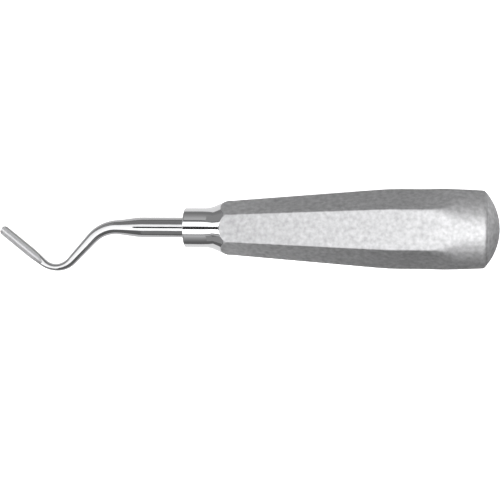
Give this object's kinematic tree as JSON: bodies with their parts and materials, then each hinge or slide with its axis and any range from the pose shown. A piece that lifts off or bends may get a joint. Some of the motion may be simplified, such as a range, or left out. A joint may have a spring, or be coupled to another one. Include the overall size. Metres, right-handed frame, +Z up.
{
  "type": "cranked root elevator",
  "caption": "Dental surgery hand instrument: a cranked gouge blade on a slim shank, for lifting roots, in a hollow six-sided steel handle with a domed end.",
  "frame": {"origin": "on the lower flat of the handle, at about the middle of that flat, where the instrument rests", "axes": "+X towards the domed end of the handle, +Z up out of the surface it lies on, and the crank dips towards -Y; the handle's own axis climbs 3.87 degrees towards +X, because the flats are tapered"},
  "size_m": [0.1499, 0.0253, 0.0234],
  "materials": {
    "polished_steel": "mirror-polished stainless steel, with a matt ground groove on the blade",
    "blasted_steel": "fine sand-blasted stainless steel, with a mirror-polished collar"
  },
  "bodies": {
    "root": {"working_end": "polished_steel", "handle_shell": "blasted_steel", "end_cap": "blasted_steel"}
  },
  "joints": []
}
